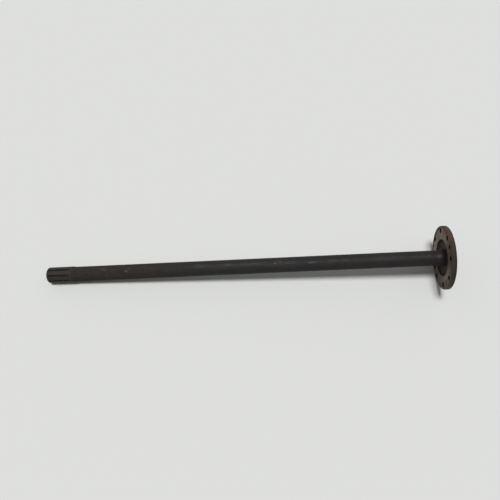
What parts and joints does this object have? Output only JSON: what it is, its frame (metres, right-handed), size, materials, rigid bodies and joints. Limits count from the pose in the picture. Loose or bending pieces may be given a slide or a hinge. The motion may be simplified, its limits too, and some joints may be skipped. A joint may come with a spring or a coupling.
{
  "type": "axle shaft",
  "caption": "Forged steel half shaft with a splined end and a round bolt flange, which carries drive from the differential to the wheel hub of a full-floating truck axle.",
  "frame": {"origin": "centre of the flange's outer face, on which the shaft stands", "axes": "+Z along the shaft's axis, from the flange to the splined tip; the jacking holes lie on the line at 135 degrees between +X and -X, through +Y"},
  "size_m": [0.161, 0.1608, 1.035],
  "materials": {
    "forged_steel": "dark forging scale on the shaft, rusted machined ring on the flange, worn spline lands"
  },
  "bodies": {
    "root": {"axle_shaft": "forged_steel"}
  },
  "joints": []
}
